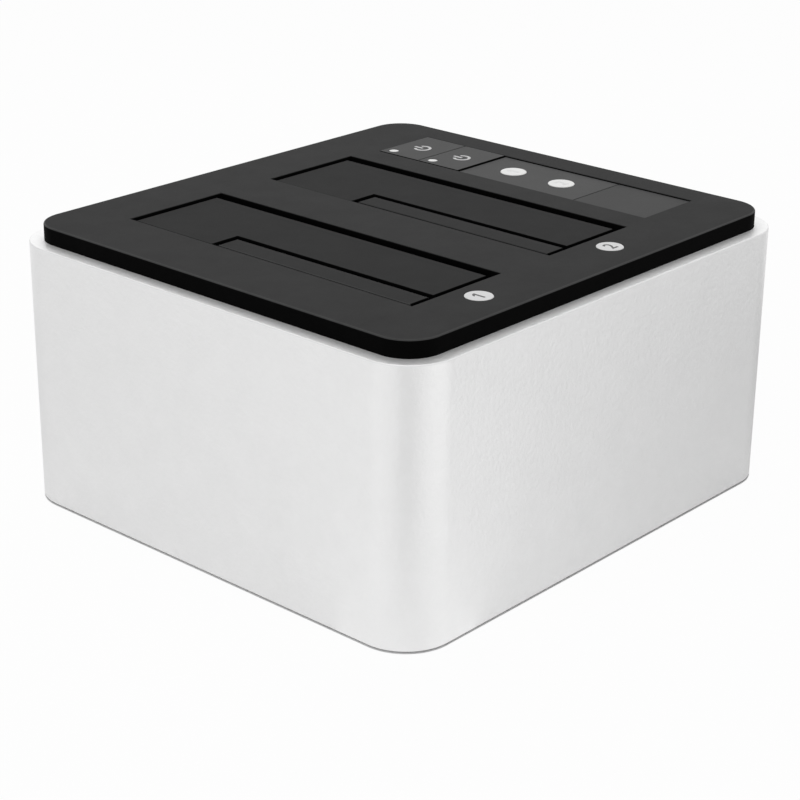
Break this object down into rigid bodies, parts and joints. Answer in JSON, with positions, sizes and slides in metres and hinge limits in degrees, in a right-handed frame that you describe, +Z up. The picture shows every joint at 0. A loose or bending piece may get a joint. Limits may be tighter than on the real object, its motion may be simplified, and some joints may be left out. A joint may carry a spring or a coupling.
{
  "type": "hard drive docking station",
  "caption": "Low block-shaped metal dock with a black top plate, lidded upright drive bays and a side strip of power buttons and indicator lights.",
  "frame": {"origin": "on the table, under the middle of the metal sleeve", "axes": "+X to the right, +Y to the back where the ports are, +Z up; the bays run along Y"},
  "size_m": [0.1606, 0.149, 0.0816],
  "materials": {
    "shell_metal": "bead-blasted, anodised silver",
    "plate_plastic": "fine-grained black plastic",
    "door_plastic": "fine-grained black plastic",
    "small_door_plastic": "fine-grained black plastic",
    "button_plastic": "smooth dark grey plastic",
    "strip_plastic": "smooth dark grey inlay",
    "blank_plastic": "smooth dark grey inlay",
    "marker_white": "white printed disc",
    "lens_white": "milky light guide",
    "well_plastic": "matt black moulding",
    "base_plastic": "matt black moulding",
    "foot_rubber": "soft black rubber",
    "screw_steel": "plated steel",
    "pin_steel": "bright drawn steel",
    "port_metal": "nickel-plated sheet",
    "board_green": "solder mask over glass fibre",
    "component_black": "moulded black plastic",
    "component_grey": "pressed ferrite",
    "can_metal": "plain can",
    "socket_white": "ivory plastic",
    "cable_white": "flat flexible cable",
    "contact_gold": "gold flash"
  },
  "bodies": {
    "base": {"aluminium_shell": "shell_metal", "top_plate": "plate_plastic", "base_plate": "base_plastic", "rear_bezel": "base_plastic", "feet": "foot_rubber", "case_screws": "screw_steel", "bay_screws": "screw_steel", "indicator_panel": "strip_plastic", "blank_panel": "blank_plastic", "control_board": "board_green", "control_screws": "screw_steel", "button_switches": "component_black", "indicator_leds": "socket_white", "ribbon_sockets": "socket_white", "ribbon_cable": "cable_white", "main_board": "board_green", "board_screws": "screw_steel", "bridge_chip": "component_black", "power_inductors": "component_grey", "capacitors": "can_metal", "usb_port": "port_metal", "usb_tongue": "component_black", "dc_jack": "component_black", "dc_pin": "port_metal", "bay_well_1": "well_plastic", "bay_door_pin_1": "pin_steel", "bay_door_spring_1": "pin_steel", "small_door_pin_1": "pin_steel", "small_door_spring_1": "pin_steel", "bay_marker_1": "marker_white", "sata_connector_1": "component_black", "sata_contacts_1": "contact_gold", "activity_lens_1": "lens_white", "bay_well_2": "well_plastic", "bay_door_pin_2": "pin_steel", "bay_door_spring_2": "pin_steel", "small_door_pin_2": "pin_steel", "small_door_spring_2": "pin_steel", "bay_marker_2": "marker_white", "sata_connector_2": "component_black", "sata_contacts_2": "contact_gold", "activity_lens_2": "lens_white"},
    "bay_door_1": {"bay_door_1": "door_plastic"},
    "bay_door_2": {"bay_door_2": "door_plastic"},
    "small_door_1": {"small_door_1": "small_door_plastic"},
    "small_door_2": {"small_door_2": "small_door_plastic"},
    "power_button_1": {"power_button_1": "button_plastic", "power_lens_1": "lens_white", "switch_plunger_1": "component_black"},
    "power_button_2": {"power_button_2": "button_plastic", "power_lens_2": "lens_white", "switch_plunger_2": "component_black"}
  },
  "joints": [
    {"name": "bay_door_1_hinge", "type": "hinge", "parent": "base", "child": "bay_door_1", "pos_m": [-0.01935, 0, 0.0768], "axis": [0, -1, 0], "range_deg": [0, 86], "stiffness_Nm_per_rad": 0.004, "springref_deg": -57.3, "deforming": ["bay_door_spring_1"]},
    {"name": "small_door_1_hinge", "type": "hinge", "parent": "base", "child": "small_door_1", "pos_m": [-0.05785, -0.01673, 0.0771], "axis": [0, 1, 0], "range_deg": [0, 88], "stiffness_Nm_per_rad": 0.0001, "springref_deg": -85.94, "deforming": ["small_door_spring_1"]},
    {"name": "power_button_1_press", "type": "slide", "parent": "base", "child": "power_button_1", "axis": [0, 0, -1], "range_m": [0, 0.0008], "stiffness_N_per_m": 200, "springref_m": -0.001},
    {"name": "bay_door_2_hinge", "type": "hinge", "parent": "base", "child": "bay_door_2", "pos_m": [0.03505, 0, 0.0768], "axis": [0, -1, 0], "range_deg": [0, 86], "stiffness_Nm_per_rad": 0.004, "springref_deg": -57.3, "deforming": ["bay_door_spring_2"]},
    {"name": "small_door_2_hinge", "type": "hinge", "parent": "base", "child": "small_door_2", "pos_m": [-0.00345, -0.01673, 0.0771], "axis": [0, 1, 0], "range_deg": [0, 88], "stiffness_Nm_per_rad": 0.0001, "springref_deg": -85.94, "deforming": ["small_door_spring_2"]},
    {"name": "power_button_2_press", "type": "slide", "parent": "base", "child": "power_button_2", "axis": [0, 0, -1], "range_m": [0, 0.0008], "stiffness_N_per_m": 200, "springref_m": -0.001}
  ]
}
